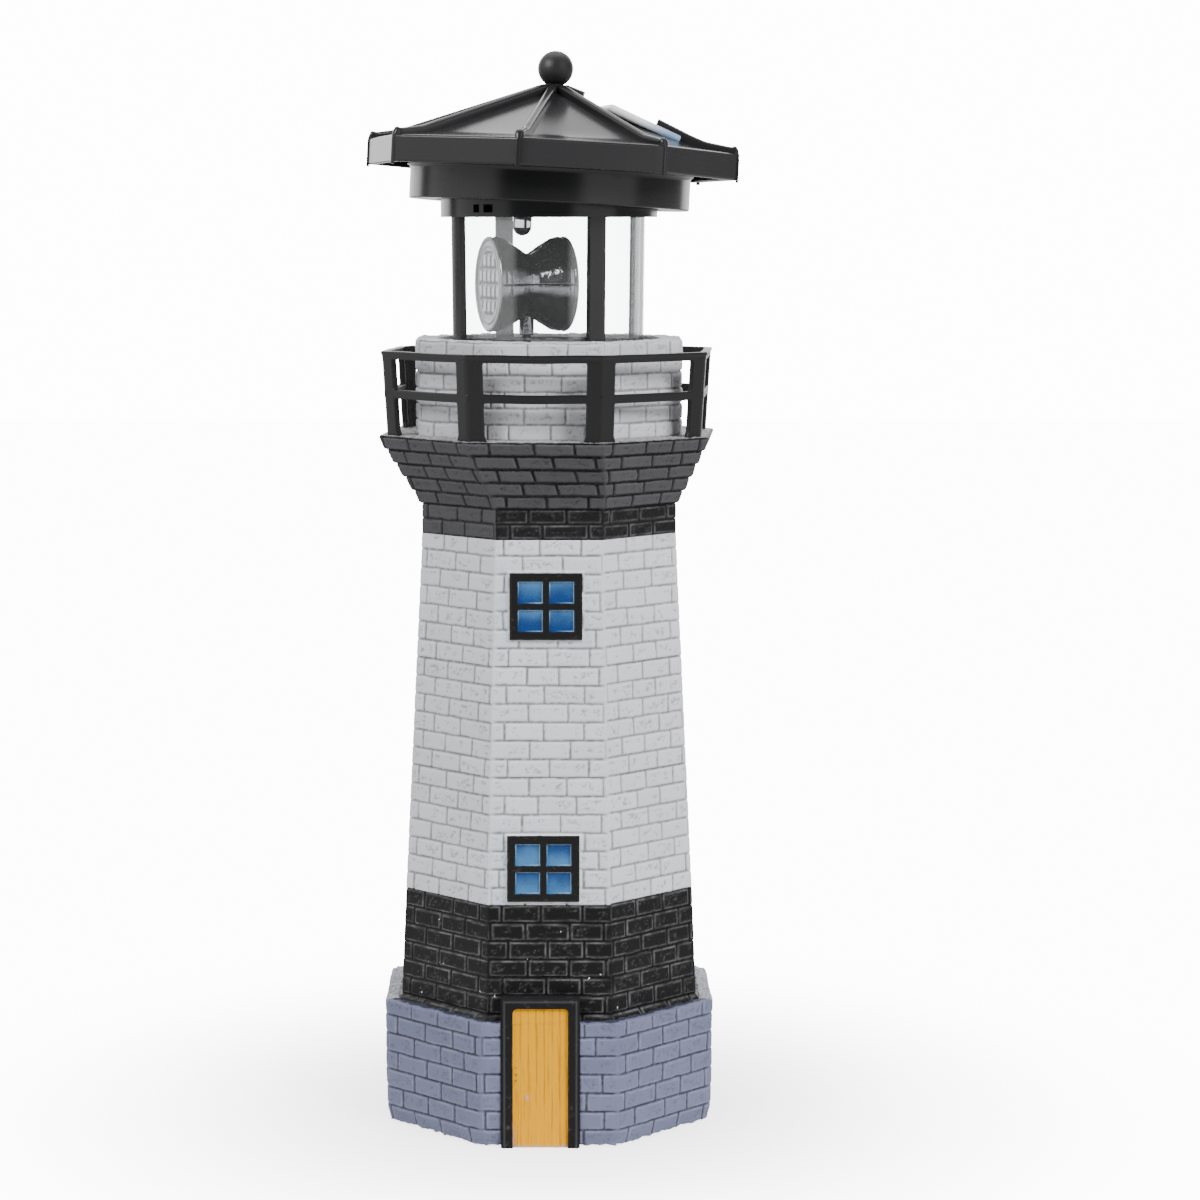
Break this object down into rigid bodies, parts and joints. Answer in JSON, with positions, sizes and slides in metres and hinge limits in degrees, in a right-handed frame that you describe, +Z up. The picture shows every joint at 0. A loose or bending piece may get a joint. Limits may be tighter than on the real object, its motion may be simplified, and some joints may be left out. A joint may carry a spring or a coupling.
{
  "type": "garden lighthouse ornament",
  "caption": "Solar garden lighthouse: hollow brick-relief tower with a railed gallery, a clear caged lantern with a motor-driven rotating reflector, and a lift-off solar roof.",
  "frame": {"origin": "middle of the underside of the tower", "axes": "+Z up the tower, -Y out of the door, +X to the right as the door is faced"},
  "size_m": [0.101, 0.1008, 0.2879],
  "materials": {
    "painted_resin": "matt painted",
    "gloss_black": "gloss",
    "satin_black": "satin",
    "black_plastic": "matt",
    "white_plastic": "matt",
    "clear_plastic": "clear, polished",
    "chrome_plating": "bright",
    "solar_glass": "gloss",
    "brass": "turned",
    "steel": "satin",
    "green_wrap": "satin",
    "green_board": "satin",
    "lead_red": "satin"
  },
  "bodies": {
    "tower": {"tower_casting": "painted_resin", "base_plate": "black_plastic", "gallery_railing": "satin_black", "lantern_floor": "black_plastic", "shaft_bushing": "brass", "clear_tube": "clear_plastic", "cage_frame": "gloss_black", "gear_pins": "steel", "gear_plate": "white_plastic", "gear_housing": "black_plastic", "drive_motor": "steel", "motor_screws": "steel", "housing_screws": "steel"},
    "roof_cap": {"battery_drum": "gloss_black", "roof_shell": "gloss_black", "ball_finial": "gloss_black", "solar_panel": "solar_glass", "cap_screws": "steel", "lamp_led": "clear_plastic", "led_holder": "black_plastic", "battery_cell": "green_wrap", "battery_tray": "black_plastic", "contact_plate": "steel", "contact_spring": "steel", "circuit_board": "green_board", "board_spacers": "black_plastic", "board_screws": "steel", "switch_body": "steel", "led_leads": "lead_red", "battery_leads": "lead_red", "panel_leads": "lead_red"},
    "reflector": {"output_gear": "black_plastic", "lower_reflector": "chrome_plating", "upper_reflector": "chrome_plating", "beam_lens_left": "clear_plastic", "beam_lens_right": "clear_plastic"},
    "second_gear": {"second_gear": "white_plastic"},
    "first_gear": {"first_gear": "white_plastic"},
    "motor_rotor": {"motor_shaft": "steel", "motor_pinion": "brass"},
    "switch_slider": {"switch_slider": "black_plastic"}
  },
  "joints": [
    {"name": "reflector_spin", "type": "hinge", "parent": "tower", "child": "reflector", "pos_m": [-0.00606, 0, 0.2], "axis": [0, 0, 1], "continuous": true},
    {"name": "second_spin", "type": "hinge", "parent": "tower", "child": "second_gear", "pos_m": [0.00019, 0.01083, 0.2], "axis": [0, 0, 1], "continuous": true},
    {"name": "first_spin", "type": "hinge", "parent": "tower", "child": "first_gear", "pos_m": [0.01152, 0.00554, 0.2], "axis": [0, 0, 1], "continuous": true},
    {"name": "motor_spin", "type": "hinge", "parent": "tower", "child": "motor_rotor", "pos_m": [0.00527, -0.00528, 0.2], "axis": [0, 0, 1], "continuous": true},
    {"name": "roof_lift", "type": "slide", "parent": "tower", "child": "roof_cap", "axis": [0.0488, 0.0157, 0.9987], "range_m": [0, 0.03]},
    {"name": "switch_slide", "type": "slide", "parent": "roof_cap", "child": "switch_slider", "axis": [0.9988, 0, -0.0489], "range_m": [0, 0.002]}
  ],
  "couplings": [
    {"joint": "second_spin", "follows": "reflector_spin", "ratio": -4},
    {"joint": "first_spin", "follows": "reflector_spin", "ratio": 16},
    {"joint": "motor_spin", "follows": "reflector_spin", "ratio": -64}
  ]
}
